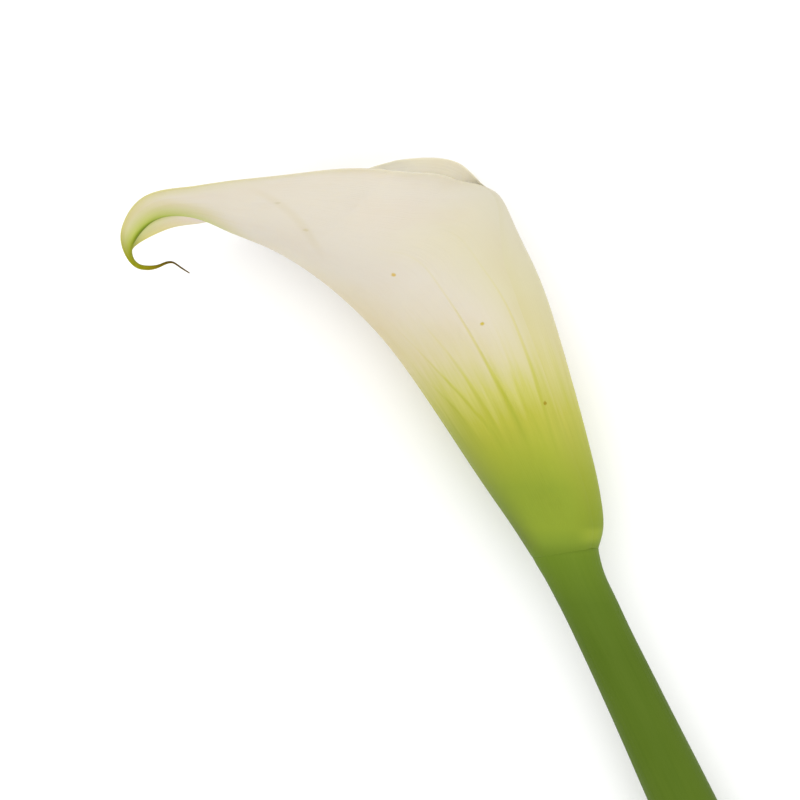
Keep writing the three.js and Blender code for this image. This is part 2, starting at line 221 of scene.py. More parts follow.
# Green veins, alike on both sides: how strong, the station up to which they show, and (station, u) points.
VEINS = (
    (1.0, 88, ((24, 0.455), (42, 0.452), (60, 0.436), (79, 0.442), (90, 0.46))),
    (0.9, 84, ((24, 0.58), (40, 0.594), (53, 0.604), (75, 0.6), (90, 0.6))),
    (0.85, 76, ((20, 0.322), (36, 0.334), (46, 0.296), (60, 0.231), (72, 0.19))),
    (0.7, 66, ((20, 0.51), (34, 0.526), (41, 0.517), (59, 0.528), (70, 0.53))),
    (0.8, 74, ((20, 0.37), (46, 0.349), (57, 0.331), (66, 0.312), (78, 0.29))),
    (0.7, 64, ((20, 0.26), (42, 0.235), (50, 0.201), (59, 0.136), (66, 0.1))),
    (0.5, 62, ((20, 0.4), (48, 0.393), (57, 0.379), (70, 0.36), (80, 0.35))),
    (0.45, 70, ((20, 0.68), (40, 0.69), (56, 0.7), (70, 0.705), (80, 0.71))),
    (0.5, 58, ((20, 0.16), (40, 0.14), (48, 0.11), (56, 0.08), (60, 0.06))),
)
VEIN_WIDTH = (30, 74, 0.018, 0.006)  # from station, to station, and the half widths in u there
VEIN_CORE = (0.1, 1.0)  # parts of the half width over which a vein fades out
VEIN_FADE = 30  # mm over which a vein fades out at its top
VEIN_RISE = (24, 44)  # heights over which the veins begin to lift the green
VEIN_LIFT = 6.2  # how far a vein carries the green up, mm
VEIN_REACH = 7  # mm by which a vein's pale yellow runs on past its green
VEIN_TINT = (0.985, 0.98, 0.8)
VEIN_TINT_HEIGHT = (44, 60, 0, 0.9)  # from height, to height, and how strong the yellow is there
VEIN_WOBBLE = 0.012  # how far a vein strays to a side, in u
# Fine streaks also fray the green: heights where that sets in, and where most of it fades out.
STREAK_RISE = (22, 38)
STREAK_FADE = (46, 66, 1, 0.15)
STREAK_LIFT = 13.0

# Towards the tip, along the station less the lean times the share of a side.
TIP_STOPS = (
    (104, (226, 219, 204)), (113, (222, 214, 181)), (127, (203, 210, 118)), (131, (188, 203, 88)),
    (135.5, (160, 177, 52)), (140, (144, 158, 30)),
)
TIP_LEAN_UPPER = 34.0
TIP_LEAN_LOWER = 24.0
TIP_FRAY = 5.0
TIP_BLEND = (104, 113)
TIP_SHARE_INSIDE = 0.55
# Along the station, at the very tip and on the dry wisp.
END_STOPS = (
    (144, (178, 184, 66)), (152, (160, 161, 28)), (156, (149, 137, 20)), (159, (118, 100, 16)),
    (161, (94, 73, 18)), (166, (86, 62, 28)),
)
END_BLEND = (143.2, 150.5)
# Painted light on the lower side's flap: its colour is lifted to make up for the shade under the curl. u and
# stations.
FLAP_PAINTED_LIGHT = (1.34, 1.29, 1.74)
FLAP_FADE_U = (-0.75, -0.45)
FLAP_SPAN = (110, 120, 141, 146)
# The rims: blend by the share of a side, (from station, to station, how strong they are at each), and tint.
# The first is the margin's yellowing, and partly painted shade on the funnel's rim, whose rounded edge
# catches light.
RIM_TINTS_AND_SHADE = (
    ((0.93, 0.995), (88, 124, 0.26, 0.75), (0.93, 0.92, 0.74)),
    ((0.74, 1), (116, 142, 0, 0.7), (0.87, 0.88, 0.39)),
)
# A yellower band along the mouth's near rim, by u and stations.
NEAR_RIM_TINT = (0.985, 0.985, 0.955)
NEAR_RIM_BLEND_U = (0.84, 0.93)
NEAR_RIM_SPAN = (84, 88, 90, 98)
# The green keel of the midrib at the tip, widened into painted shade along the fold beside it.
KEEL_GREEN_AND_SHADE = (0.68, 0.76, 0.28)
KEEL_WIDTH = (134, 144, 0.055, 0.4)  # from station, to station, and the half widths in u there
KEEL_CORE = (0.5, 1)  # parts of the half width over which the keel fades out
KEEL_SPAN = (114, 127, 144, 148)
KEEL_OUTSIDE = 0.9
KEEL_INSIDE = 0.35

# Patterns, as repeats across one unit of u, repeats in 1 mm along, seed and detail.
STREAKS = (34.0, 0.035, 0.0, 3.0)
WOBBLE = (3.0, 0.05, 0.0, 1.0)
CLOUDS = (5.0, 0.07, 3.0, 3.0)
FIBRES = (150.0, 0.09, 7.0, 2.0)
CLOUD_MARK = (0.42, 0.72, 0, 0.5, (0.985, 0.955, 0.93))
FIBRE_MARK = (0.5, 0.8, 0, 0.4, (0.965, 0.965, 0.93))
# Painted shade along a crease across the limb, where the layer behind shows through: (station, u) points.
CREASE = ((90, 0.2), (98, 0.34), (104, 0.454), (114, 0.662), (122, 0.86))
CREASE_PAINTED_SHADE = (0.95, 0.93, 0.84)
CREASE_WIDTH = (0.004, 0.05, 0.55, 0)  # how far away in u, and how strong it is at each
CREASE_SPAN = (94, 101, 116, 122)
# Small blemishes: (station, u, radius in mm, tint)
SPECKS = (
    (82.2, 0.352, 0.62, (0.93, 0.74, 0.28)), (63, 0.489, 0.62, (0.82, 0.72, 0.16)),
    (39.9, 0.606, 0.66, (0.7, 0.56, 0.25)), (114, 0.662, 0.9, (0.9, 0.89, 0.82)),
    (104, 0.454, 0.9, (0.92, 0.9, 0.78)), (70, -0.4, 0.6, (0.86, 0.74, 0.3)),
    (93, -0.55, 0.55, (0.92, 0.8, 0.45)), (48, -0.22, 0.6, (0.72, 0.6, 0.3)),
    (101, -0.3, 0.7, (0.93, 0.9, 0.8)),
)
SPECK_CORE = 0.35  # part of a blemish's radius that has its full tint
SPECK_NOISE = 1.6  # scale of the noise that frays it
SIDE_LENGTH = 58.0  # mm from the midrib to a margin, halfway up the funnel
SKIN_ROUGHNESS = 0.5
SKIN_SPECULAR = 0.05
SKIN_SOAK = 0.35
SKIN_SOAK_DEPTH = 1.3  # mm
SKIN_RELIEF = 0.12  # mm
FIBRE_RELIEF = 0.5  # parts of that
VEIN_RELIEF = 0.6
SOAK_COLOUR = (1.0, 0.9, 0.6)  # how far red, green and blue light go, as parts of the depth

# ---------- colours of the stem, the cut and the spadix ----------
# A pattern is (scale across the radius, scale in 1 mm along).
STEM_STOPS = ((-24, (91, 115, 32)), (-11, (95, 120, 34)), (0, (110, 135, 39)), (9, (130, 151, 47)))
STEM_LINES = (9.0, 0.03)
STEM_LINE_DETAIL = 4.0
STEM_LINE_MARK = (0.42, 0.78, 0, 0.6, (0.9, 0.94, 0.84))
STEM_PATCHES = (1.2, 0.05)
STEM_PATCH_MARK = (0.4, 0.7, 0, 0.8, (0.93, 0.95, 0.86))
STEM_DOTS = 5.0  # cells in one unit of the lines' pattern
STEM_DOT_MARK = (0.0, 0.1, 0.35, 0, (1.1, 1.08, 1.0))
STEM_RELIEF = 0.2  # mm
# From the middle of the cut end, in mm.
CUT_STOPS = ((0, (206, 210, 150)), (6, (196, 204, 134)), (7.9, (158, 176, 88)), (8.8, (104, 128, 48)))
CUT_CHANNELS = 1.25  # air channels in 1 mm
# The channels' dark dots are painted shade inside the open air channels.
CUT_CHANNEL_SHADE_MARK = (0.12, 0.42, 0.85, 0, (0.72, 0.76, 0.58))
CUT_STRANDS = 0.5  # strands in 1 mm
CUT_STRAND_MARK = (0.05, 0.16, 0.9, 0, (0.62, 0.72, 0.42))
CUT_RELIEF = 0.4  # mm
CUT_SOAK = 0.3
CUT_SOAK_DEPTH = 1.2  # mm
# From the seams between the florets, 0, to their crowns, 1: darker towards the seams, as painted shade.
STAMEN_SEAM_SHADE_STOPS = ((0, (186, 128, 16)), (0.45, (224, 168, 28)), (1, (246, 208, 74)))
PISTIL_SEAM_SHADE_STOPS = ((0, (150, 138, 40)), (0.6, (206, 196, 92)), (0.93, (226, 216, 140)), (1, (240, 226, 170)))
PISTIL_COLOUR_BLEND = 1  # mm to each side of the zone's end
POLLEN_GRAIN = (26.0, 6.0)
POLLEN_DETAIL = 3.0
POLLEN_MARK = (0.4, 0.7, 0, 0.8, (0.93, 0.86, 0.66))
FLORET_RELIEF = 0.2  # mm

# ---------- camera, as the photograph frames the flower ----------
PICTURE_PX = 800
PX_PER_MM = 4.0  # at the flower's plane of symmetry
NECK_PX = (573.5, 559.0)
STEM_DIRECTION_PX = (-0.43, -0.903)  # unit vector of +a in the picture, x to the right and y down
CAMERA_DISTANCE = 900.0
CLIP_START = 0.01  # metres
SENSOR_MM = 36.0

# ---------- light ----------
DOME_STRENGTH = 1.05
SOFTBOX = ((0.2, -0.12, 1.35), 1.7, 8.0)  # place and width in metres, and watts
FLOOR_HALF = 4000  # mm
FLOOR_GREY = 0.95
LIT = 1.31  # how bright a white matt surface on the floor is in this light


def interval(x, at):
    """at as an array, and which interval of x each of its values is in."""
    at = np.atleast_1d(np.asarray(at, float))
    return at, np.clip(np.searchsorted(x, at, side="right") - 1, 0, len(x) - 2)


def spline(rows):
    """Natural cubic spline through rows of (x, values...), as a function of an array of x."""
    table = np.array(rows, float)
    x, y = table[:, 0], table[:, 1:]
    gap = np.diff(x)
    matrix = np.eye(len(x))
    right = np.zeros_like(y)
    for i in range(1, len(x) - 1):
        matrix[i, i - 1 : i + 2] = gap[i - 1], 2 * (gap[i - 1] + gap[i]), gap[i]
        right[i] = 6 * ((y[i + 1] - y[i]) / gap[i] - (y[i] - y[i - 1]) / gap[i - 1])
    bend = np.linalg.solve(matrix, right)

    def value(at):
        at, i = interval(x, at)
        h = gap[i][:, None]
        d = (at - x[i])[:, None]
        e = h - d
        curved = (bend[i] * e**3 + bend[i + 1] * d**3) / (6 * h)
        return curved + (y[i] / h - bend[i] * h / 6) * e + (y[i + 1] / h - bend[i + 1] * h / 6) * d

    return value


def ramp(rows):
    """Cubic through (x, value) pairs that never overshoots them, as a function of an array of x."""
    x, y = np.array(rows, float).T
    step = np.diff(x)
    rise = np.diff(y) / step
    slope = np.zeros_like(y)
    slope[0], slope[-1] = rise[0], rise[-1]
    for i in range(1, len(x) - 1):
        if rise[i - 1] * rise[i] > 0:
            w1, w2 = 2 * step[i] + step[i - 1], step[i] + 2 * step[i - 1]
            slope[i] = (w1 + w2) / (w1 / rise[i - 1] + w2 / rise[i])

    def value(at):
        at, i = interval(x, at)
        h = step[i]
        t = (at - x[i]) / h
        held = (1 + 2 * t) * (1 - t) ** 2 * y[i] + t * t * (3 - 2 * t) * y[i + 1]
        return held + t * (1 - t) ** 2 * h * slope[i] + t * t * (t - 1) * h * slope[i + 1]

    return value


def smoothstep(x, low, high):
    t = np.clip((np.asarray(x, float) - low) / (high - low), 0, 1)
    return t * t * (3 - 2 * t)


def lie(points):
    """Points of the flower's frame to where it lies, in mm."""
    cos, sin = math.cos(LIE_SLOPE), math.sin(LIE_SLOPE)
    turned = np.empty_like(points)
    turned[..., 0] = points[..., 0] * cos - points[..., 2] * sin
    turned[..., 1] = points[..., 1]
    turned[..., 2] = points[..., 0] * sin + points[..., 2] * cos
    return turned + np.array(LIE_SHIFT)


def pressed(z):
    """Height of a soft face that rests on the surface: flat where it would sink in, and round above."""
    blended = (z + PRESS_BLEND) ** 2 / (4 * PRESS_BLEND)
    return np.where(z <= -PRESS_BLEND, 0, np.where(z < PRESS_BLEND, blended, z))


def rise(points):
    """How high a point stands above the neck when the photograph's picture is upright, in mm."""
    return -points[..., 0] * STEM_DIRECTION_PX[1] + points[..., 1] * STEM_DIRECTION_PX[0]


def unit_arcs(wrap, roll):
    """One side of each cross-section as an arc of unit size: across and forward at ARC_STEPS + 1 places."""
    u = (np.arange(ARC_STEPS) + 0.5) / ARC_STEPS
    heading = np.radians(wrap)[:, None] * u - np.radians(roll)[:, None] * u**ROLL_POWER
    start = np.zeros((len(wrap), 1))
    across = np.hstack([start, np.cumsum(np.cos(heading), axis=1)])
    forward = np.hstack([start, np.cumsum(np.sin(heading), axis=1)])
    return across / across.max(axis=1)[:, None], forward / forward.max(axis=1)[:, None]


def spathe_face(stations, us):
    """The outer face of the spathe as a grid of points, stations by us."""
    rib = spline(MIDRIB)(stations)
    reach = spline(UPPER_FRONT)(stations) - rib
    drop = spline(LOWER_FRONT)(stations) - rib - reach
    width = ramp(HALF_WIDTH)(stations)
    tuck = TUCK * (1 - smoothstep(stations, *TUCK_STATIONS))
    flush = 1 - smoothstep(stations, *FLUSH_STATIONS)
    upper_wrap, lower_wrap = ramp(UPPER_WRAP)(stations), ramp(LOWER_WRAP)(stations)
    upper = unit_arcs(upper_wrap, ramp(UPPER_ROLL)(stations))
    lower = unit_arcs(lower_wrap, ramp(LOWER_ROLL)(stations))
    places = np.linspace(0, 1, ARC_STEPS + 1)
    grid = np.zeros((len(stations), len(us), 3))
    low = us < 0
    for i in range(len(stations)):
        past_margin = upper_wrap[i] * us - (360 - lower_wrap[i])
        exposed = flush[i] * (1 - smoothstep(past_margin, *COVER_BLEND))
        lower_across, lower_forward = (np.interp(-us, places, line[i]) for line in lower)
        upper_across, upper_forward = (np.interp(us, places, line[i]) for line in upper)
        forward = np.where(low, lower_forward, upper_forward)
        upper_width = width[i] - tuck[i] * (1 - exposed)
        dropped = np.sign(forward) * np.abs(forward) ** DROP_POWER * np.where(low, 1, exposed)
        grid[i, :, :2] = rib[i] + np.outer(forward, reach[i]) + np.outer(dropped, drop[i])
        grid[i, :, 2] = np.where(low, -width[i] * lower_across, upper_width * upper_across)
    return grid


def soak(stations, us):
    """How far light soaks into the skin: 0 where it lies flush on another layer, and 1 where it is free."""
    flush = 1 - smoothstep(stations, *FLUSH_STATIONS)[:, None]
    past_margin = np.outer(ramp(UPPER_WRAP)(stations), us) - (360 - ramp(LOWER_WRAP)(stations))[:, None]
    lying = np.where(us < 0, smoothstep(-us, *SOAK_LOWER), smoothstep(past_margin, *SOAK_UPPER))
    return (1 - flush * lying) * smoothstep(stations, *SOAK_BASE)[:, None]


def inward_normals(stations, us):
    """Unit normals of the outer face that point into the skin."""
    ahead = spathe_face(np.minimum(stations + NORMAL_NUDGE, stations[-1]), us)
    behind = spathe_face(np.maximum(stations - NORMAL_NUDGE, stations[0]), us)
    right = spathe_face(stations, np.minimum(us + NORMAL_NUDGE, 1))
    left = spathe_face(stations, np.maximum(us - NORMAL_NUDGE, -1))
    normal = np.cross(ahead - behind, right - left)
    return normal / np.linalg.norm(normal, axis=2)[..., None]


def spathe_faces(stations, us):
    """The outer and the inner face of the skin, which round off to the margins."""
    outer = spathe_face(stations, us)
    inward = inward_normals(stations, us)
    side = np.abs(us)
    low = us < 0
    rib = ramp(RIB_THICKNESS)(stations)[:, None]
    rim = ramp(RIM_THICKNESS)(stations)[:, None]
    thickness = rib + (rim - rib) * np.sin(np.minimum(side * 2, 1) * math.pi / 2)
    flush = 1 - smoothstep(stations, *FLUSH_STATIONS)[:, None]
    thickness = thickness * (1 - WRAP_THINNING * flush * smoothstep(side, *WRAP_THIN_BLEND) * low)
    past = np.clip((side - (1 - RIM_ROUND)) / RIM_ROUND, 0, RIM_BLUNTNESS)
    roundness = np.sqrt(1 - past**2)
    half = (inward * thickness[..., None]) / 2
    sunk = ramp(MARGIN_SINK)(stations)[:, None] * smoothstep(side, MARGIN_SINK_FROM, 1) * low
    sunk = sunk + ramp(BASE_SINK)(stations)[:, None]
    outer = outer + inward * sunk[..., None]
    return outer + half * (1 - roundness)[:, None], outer + half * (1 + roundness)[:, None]


def add_object(name, data):
    made = bpy.data.objects.new(name, data)
    bpy.context.scene.collection.objects.link(made)
    return made


def mesh_object(name, points, faces, places, materials, face_material):
    """A smooth mesh object from points in mm. places is {UV map: two numbers for each point}."""
    mesh = bpy.data.meshes.new(name)
    mesh.from_pydata((points * MM).tolist(), [], faces)
    corners = np.empty(len(mesh.loops), dtype=np.int32)
    mesh.loops.foreach_get("vertex_index", corners)
    for label, values in places.items():
        layer = mesh.uv_layers.new(name=label)
        layer.data.foreach_set("uv", np.asarray(values, np.float32)[corners].ravel())
    mesh.polygons.foreach_set("use_smooth", np.ones(len(mesh.polygons), dtype=bool))
    for material in materials:
        mesh.materials.append(material)
    mesh.polygons.foreach_set("material_index", np.asarray(face_material, dtype=np.int32))
    return add_object(name, mesh)


def grid_quads(rows, columns, closed=False):
    """Quads over a grid of points, wound from column to column and then from row to row."""
    i, j = np.meshgrid(np.arange(rows - 1), np.arange(columns if closed else columns - 1), indexing="ij")
    k = (j + 1) % columns
    quads = [i * columns + j, i * columns + k, (i + 1) * columns + k, (i + 1) * columns + j]
    return np.stack(quads, axis=-1).reshape(-1, 4)


def place_maps(points, along, across):
    """UV maps: Place is along and across (0 to 1), and Rise is height and c. Lengths are over MAP_MM."""
    rises = np.stack([rise(points), points[..., 2]], axis=-1).reshape(-1, 2) / MAP_MM
    place = np.empty(points.shape[:2] + (2,))
    place[..., 0] = along / MAP_MM
    place[..., 1] = across
    return {"Place": place.reshape(-1, 2), "Rise": rises}


def build_spathe(outside, inside):
    """One closed skin: the outer face, the inner face, and a strip along each of its four edges."""
    stations = np.concatenate([[ROWS[0][0]]] + [np.linspace(p, q, n + 1)[1:] for p, q, n in ROWS])
    rounded = RIM_ROUND * np.sin(np.linspace(0, math.pi / 2, RIM_COLUMNS + 1)[1:])
    upper = np.concatenate([np.linspace(0, 1 - RIM_ROUND, UPPER_COLUMNS + 1), 1 - RIM_ROUND + rounded])
    lower = np.concatenate([np.linspace(0, 1 - RIM_ROUND, LOWER_COLUMNS + 1)[1:], 1 - RIM_ROUND + rounded])
    us = np.concatenate([-lower[::-1], upper])
    outer, inner = spathe_faces(stations, us)
    maps = [place_maps(face, stations[:, None], (us[None, :] + 1) / 2) for face in (outer, inner)]
    places = {label: np.concatenate([maps[0][label], maps[1][label]]) for label in maps[0]}
    free = soak(stations, us).reshape(-1, 1) * (1, 0)
    places["Soak"] = np.concatenate([free, free])
    outer, inner = lie(outer), lie(inner)
    lift = pressed(outer[..., 2]) - outer[..., 2]
    outer[..., 2] += lift
    inner[..., 2] += lift
    rows, columns = outer.shape[:2]
    quads = grid_quads(rows, columns)
    at = np.arange(rows * columns * 2).reshape(2, rows, columns)
    faces = [quads, quads[:, ::-1] + rows * columns]
    for rim, turn in ((at[:, :, 0], 1), (at[:, :, -1], -1), (at[:, 0, :], -1), (at[:, -1, :], 1)):
        strip = np.stack([rim[0, :-1], rim[0, 1:], rim[1, 1:], rim[1, :-1]], axis=1)
        faces.append(strip[:, ::turn])
    indoors = np.concatenate([np.full(len(f), k == 1) for k, f in enumerate(faces)])
    points = np.concatenate([outer.reshape(-1, 3), inner.reshape(-1, 3)])
    faces = np.concatenate(faces).tolist()
    return mesh_object("calla_spathe", points, faces, places, [outside, inside], indoors)


def oval_ring(back_a, back_b, front_a, front_b, half_across, angles):
    """An oval in the plane through its back and front points."""
    middle = np.array([(back_a + front_a) / 2, (back_b + front_b) / 2, 0])
    arm = np.array([(back_a - front_a) / 2, (back_b - front_b) / 2, 0])
    return middle + np.outer(np.cos(angles), arm) + np.outer(np.sin(angles), (0, 0, half_across))


def build_loft(name, rings, places, materials, ring_material):
    """A closed mesh through rings of points in the flower's frame, with a fan over each end.
    ring_material is the material of each band between two rings, and the fans take their neighbour's."""
    count, sides = rings.shape[:2]
    ends = rings[[0, -1]].mean(axis=1)
    points = np.concatenate([rings.reshape(-1, 3), ends])
    hub = count * sides
    top = hub - sides
    turns = [(p, (p + 1) % sides) for p in range(sides)]
    first = [(hub, q, p) for p, q in turns]
    last = [(hub + 1, top + p, top + q) for p, q in turns]
    faces = grid_quads(count, sides, closed=True).tolist() + first + last
    material = np.repeat([*ring_material, ring_material[0], ring_material[-1]], sides)
    full = {}
    for label, values in places.items():
        values = values.reshape(count, sides, 2)
        full[label] = np.concatenate([values.reshape(-1, 2), values[[0, -1]].mean(axis=1)])
    return mesh_object(name, lie(points), faces, full, materials, material)


def stem_flank(angles):
    """Rings of the stem's skin, from the cut end to the seam with the spathe."""
    keys = []
    for a in np.linspace(STEM_LINE[0][0], STEM_LINE[-1][0], STEM_KEYS):
        b, radius = spline(STEM_LINE)(a)[0]
        keys.append((a, b + radius, a, b - radius, radius))
    keys = np.array(keys + list(NECK_RINGS))
    middles = np.stack([keys[:, 0] + keys[:, 2], keys[:, 1] + keys[:, 3]], axis=1) / 2
    along = np.concatenate([[0], np.cumsum(np.linalg.norm(np.diff(middles, axis=0), axis=1))])
    at = np.linspace(0, along[-1], round(along[-1] / STEM_STEP))
    rows = spline(np.column_stack([along, keys]))(at)
    lean = CUT_SLANT * np.clip(1 - at / CUT_LEAN_LENGTH, 0, 1)
    rows[:, 0] += lean
    rows[:, 2] -= lean
    return [oval_ring(*row, angles) for row in rows]


def build_stem(skin, cut):
    """One closed loft: the hollow pith of the cut, the flank up to the neck, and the seat in the spathe."""
    angles = np.linspace(0, 2 * math.pi, STEM_SIDES, endpoint=False)
    flank = stem_flank(angles)
    rim = flank[0]
    middle = rim.mean(axis=0)
    pith = []
    for k in range(1, CUT_RINGS + 1):
        share = k / (CUT_RINGS + 1)
        ring = middle + (rim - middle) * share
        ring[:, 0] += CUT_HOLLOW * (1 - share**CUT_HOLLOW_POWER)
        pith.append(ring)
    seat = [oval_ring(*row, angles) for row in SEAT_RINGS]
    rings = np.array(pith + flank + seat)
    places = place_maps(rings, rings.mean(axis=1)[:, :1], 0)
    around = np.stack([np.cos(angles), np.sin(angles)], axis=-1)
    places["Round"] = np.broadcast_to(around, rings.shape[:2] + (2,)).reshape(-1, 2)
    places["Cut"] = ((rings - middle)[..., 1:] / MAP_MM).reshape(-1, 2)
    band = np.zeros(len(rings) - 1, dtype=int)
    band[: len(pith)] = 1
    return build_loft("calla_stem", rings, places, [skin, cut], band)


def floret_relief(along, angle, around, pitch, draw):
    """Height of packed domes round a spike, 0 in the seams and 1 on the crowns.
    around is how many stand in a row, pitch the mm between rows, and draw the table of their strays."""
    cell = 2 * math.pi / around
    nearest = np.full(along.shape, np.inf)
    row = np.floor(along / pitch)
    for d_row in (-1, 0, 1):
        at_row = row + d_row
        shift = np.where(at_row % 2 == 0, 0, 0.5)
        column = np.floor(angle / cell - shift)
        for d_column in (0, 1):
            at_column = (column + d_column) % around
            jitter = draw[at_row.astype(int) % draw.shape[0], at_column.astype(int) % draw.shape[1]]
            centre_along = (at_row + 0.5 + jitter[..., 0]) * pitch
            centre_angle = (column + d_column + shift + jitter[..., 1]) * cell
            far = np.hypot((along - centre_along) / pitch, (angle - centre_angle) / cell)
            nearest = np.minimum(nearest, far)
    return np.sqrt(np.clip(1 - (nearest / FLORET_REACH) ** 2, 0, 1))


def build_spadix(material):
    """A round-topped spike of packed florets, pistils at its foot and stamens above."""
    angles = np.linspace(0, 2 * math.pi, SPADIX_SIDES, endpoint=False)
    foot, tip = np.array(SPADIX_FOOT), np.array(SPADIX_TIP)
    length = float(np.hypot(*(tip - foot)))
    share = np.linspace(0, 1, SPADIX_RINGS + 1)
    radius = SPADIX_FOOT_RADIUS + (SPADIX_TIP_RADIUS - SPADIX_FOOT_RADIUS) * share
    to_tip = np.clip((1 - share) * length / SPADIX_TIP_RADIUS, 0, 1)
    dome = np.maximum(np.sqrt(1 - (1 - to_tip) ** 2), SPADIX_BLUNTNESS)
    along = np.broadcast_to((share * length)[:, None], (len(share), SPADIX_SIDES))
    draw = np.random.default_rng(SEED).uniform(-FLORET_JITTER, FLORET_JITTER, (*JITTER_TABLE, 2))
    around = np.broadcast_to(angles, along.shape)
    stamens, pistils = (floret_relief(along, around, *kind[:2], draw) for kind in (STAMENS, PISTILS))
    low = 1 - smoothstep(along, PISTIL_ZONE - PISTIL_BLEND, PISTIL_ZONE + PISTIL_BLEND)
    height = stamens * STAMENS[2] * (1 - low) + pistils * PISTILS[2] * low
    swell = (radius * dome)[:, None] + (height - FLORET_SINK) * dome[:, None]
    middle = foot + (tip - foot) * share[:, None]
    rings = np.empty(along.shape + (3,))
    rings[..., 0] = middle[:, :1]
    rings[..., 1] = middle[:, 1:] + swell * np.cos(angles)
    rings[..., 2] = swell * np.sin(angles)
    crown = stamens * (1 - low) + pistils * low
    places = {
        "Place": np.stack([along / MAP_MM, crown], axis=-1).reshape(-1, 2),
        "Round": np.stack([np.cos(around), np.sin(around)], axis=-1).reshape(-1, 2),
    }
    return build_loft("calla_spadix", rings, places, [material], np.zeros(SPADIX_RINGS, dtype=int))


def seen(r, g, b):
    """The surface colour, as linear RGBA, that looks like an sRGB colour (0 to 255) in the scene's light."""
    parts = (r / 255, g / 255, b / 255)
    linear = [v / 12.92 if v <= 0.04045 else ((v + 0.055) / 1.055) ** 2.4 for v in parts]
    return (*(v / LIT for v in linear), 1)


def reckon(operation):
    return lambda value, other=0.0: value.shade.math(operation, value, other)


class Value:
    """What a node gives. Its arithmetic adds the nodes that reckon with it."""

    def __init__(self, shade, socket):
        self.shade = shade
        self.socket = socket

    __add__ = reckon("ADD")
    __sub__ = reckon("SUBTRACT")
    __mul__ = reckon("MULTIPLY")
    __truediv__ = reckon("DIVIDE")
    __abs__ = reckon("ABSOLUTE")


class Shade:
    """A Principled material, with short ways to add nodes to it. What they take is a number or a Value."""

    def __init__(self, name, roughness, specular):
        self.material = bpy.data.materials.new(name)
        self.material.use_nodes = True
        self.nodes = self.material.node_tree.nodes
        self.links = self.material.node_tree.links
        self.principled = self.nodes["Principled BSDF"]
        self.principled.inputs["Roughness"].default_value = roughness
        self.principled.inputs["Specular IOR Level"].default_value = specular

    def put(self, socket, value):
        if isinstance(value, Value):
            self.links.new(value.socket, socket)
        else:
            socket.default_value = value

    def node(self, kind, inputs, output=0, **settings):
        """Adds a node. inputs is {socket: number or Value}, and settings are the node's own attributes."""
        made = self.nodes.new(kind)
        for name, setting in settings.items():
            setattr(made, name, setting)
        for name, value in inputs.items():
            self.put(made.inputs[name], value)
        return Value(self, made.outputs[output])

    def place(self, uv_map, scale=1.0):
        """The two coordinates of a UV map, each times scale."""
        vector = self.node("ShaderNodeUVMap", {}, uv_map=uv_map)
        split = self.node("ShaderNodeSeparateXYZ", {0: vector}).socket.node
        return [Value(self, split.outputs[k]) * scale for k in (0, 1)]

    def math(self, operation, first, second=0.0):
        return self.node("ShaderNodeMath", {0: first, 1: second}, operation=operation)

    def remap(self, value, low, high, to_low=0.0, to_high=1.0):
        """A smooth step from to_low, at low and below, to to_high, at high and above."""
        names = ("Value", "From Min", "From Max", "To Min", "To Max")
        inputs = dict(zip(names, (value, low, high, to_low, to_high)))
        return self.node("ShaderNodeMapRange", inputs, interpolation_type="SMOOTHSTEP")

    def fade(self, value, low, high):
        """A smooth step from 1, at low and below, to 0, at high and above."""
        return self.remap(value, low, high, 1, 0)

    def stops(self, value, stops):
        """The colour at value, from (value, sRGB colour) stops."""
        low, high = stops[0][0], stops[-1][0]
        share = self.node("ShaderNodeMapRange", {"Value": value, "From Min": low, "From Max": high})
        made = self.node("ShaderNodeValToRGB", {0: share})
        elements = made.socket.node.color_ramp.elements
        elements.remove(elements[1])
        for k, (at, colour) in enumerate(stops):
            place = (at - low) / (high - low)
            element = elements[0] if k == 0 else elements.new(place)
            element.position = place
            element.color = seen(*colour)
        return made

    def curve(self, value, points):
        """A smooth curve through (value, result) points, all from 0 to 1."""
        made = self.node("ShaderNodeFloatCurve", {"Value": value})
        mapping = made.socket.node.mapping
        for k, point in enumerate(points):
            if k < 2:
                mapping.curves[0].points[k].location = point
            else:
                mapping.curves[0].points.new(*point)
        mapping.update()
        return made

    def mix(self, factor, first, second, blend="MIX"):
        inputs = {0: factor, 6: first, 7: second}
        return self.node("ShaderNodeMix", inputs, output=2, data_type="RGBA", blend_type=blend)

    def mix_value(self, factor, first, second):
        return self.node("ShaderNodeMix", {0: factor, 2: first, 3: second})

    def tint(self, factor, colour, by):
        """colour times the RGB factors in by, as far as factor says."""
        return self.mix(factor, colour, (*by, 1), "MULTIPLY")

    def mark(self, value, colour, low, high, at_low, at_high, by):
        """Tints colour as far as at_low where value is low, and as far as at_high where it is high."""
        return self.tint(self.remap(value, low, high, at_low, at_high), colour, by)

    def vector(self, x, y, z=0.0):
        return self.node("ShaderNodeCombineXYZ", {0: x, 1: y, 2: z})

    def distance(self, first, second):
        return self.node("ShaderNodeVectorMath", {0: first, 1: second}, output="Value", operation="DISTANCE")

    def noise(self, vector, scale, detail=2.0):
        return self.node("ShaderNodeTexNoise", {"Vector": vector, "Scale": scale, "Detail": detail})

    def cells(self, vector, scale):
        """Distance from the middle of the nearest cell."""
        return self.node("ShaderNodeTexVoronoi", {"Vector": vector, "Scale": scale}, output="Distance")

    def colour(self, value):
        self.put(self.principled.inputs["Base Color"], value)

    def bump(self, height, depth):
        """Relief from height, where 1 stands depth mm out."""
        inputs = {"Strength": 1.0, "Distance": depth * MM, "Height": height}
        self.put(self.principled.inputs["Normal"], self.node("ShaderNodeBump", inputs))

    def soften(self, weight, depth):
        """Lets light soak into the surface, depth mm deep, and through it where it is thin."""
        self.put(self.principled.inputs["Subsurface Weight"], weight)
        self.principled.inputs["Subsurface Radius"].default_value = SOAK_COLOUR
        self.principled.inputs["Subsurface Scale"].default_value = depth * MM


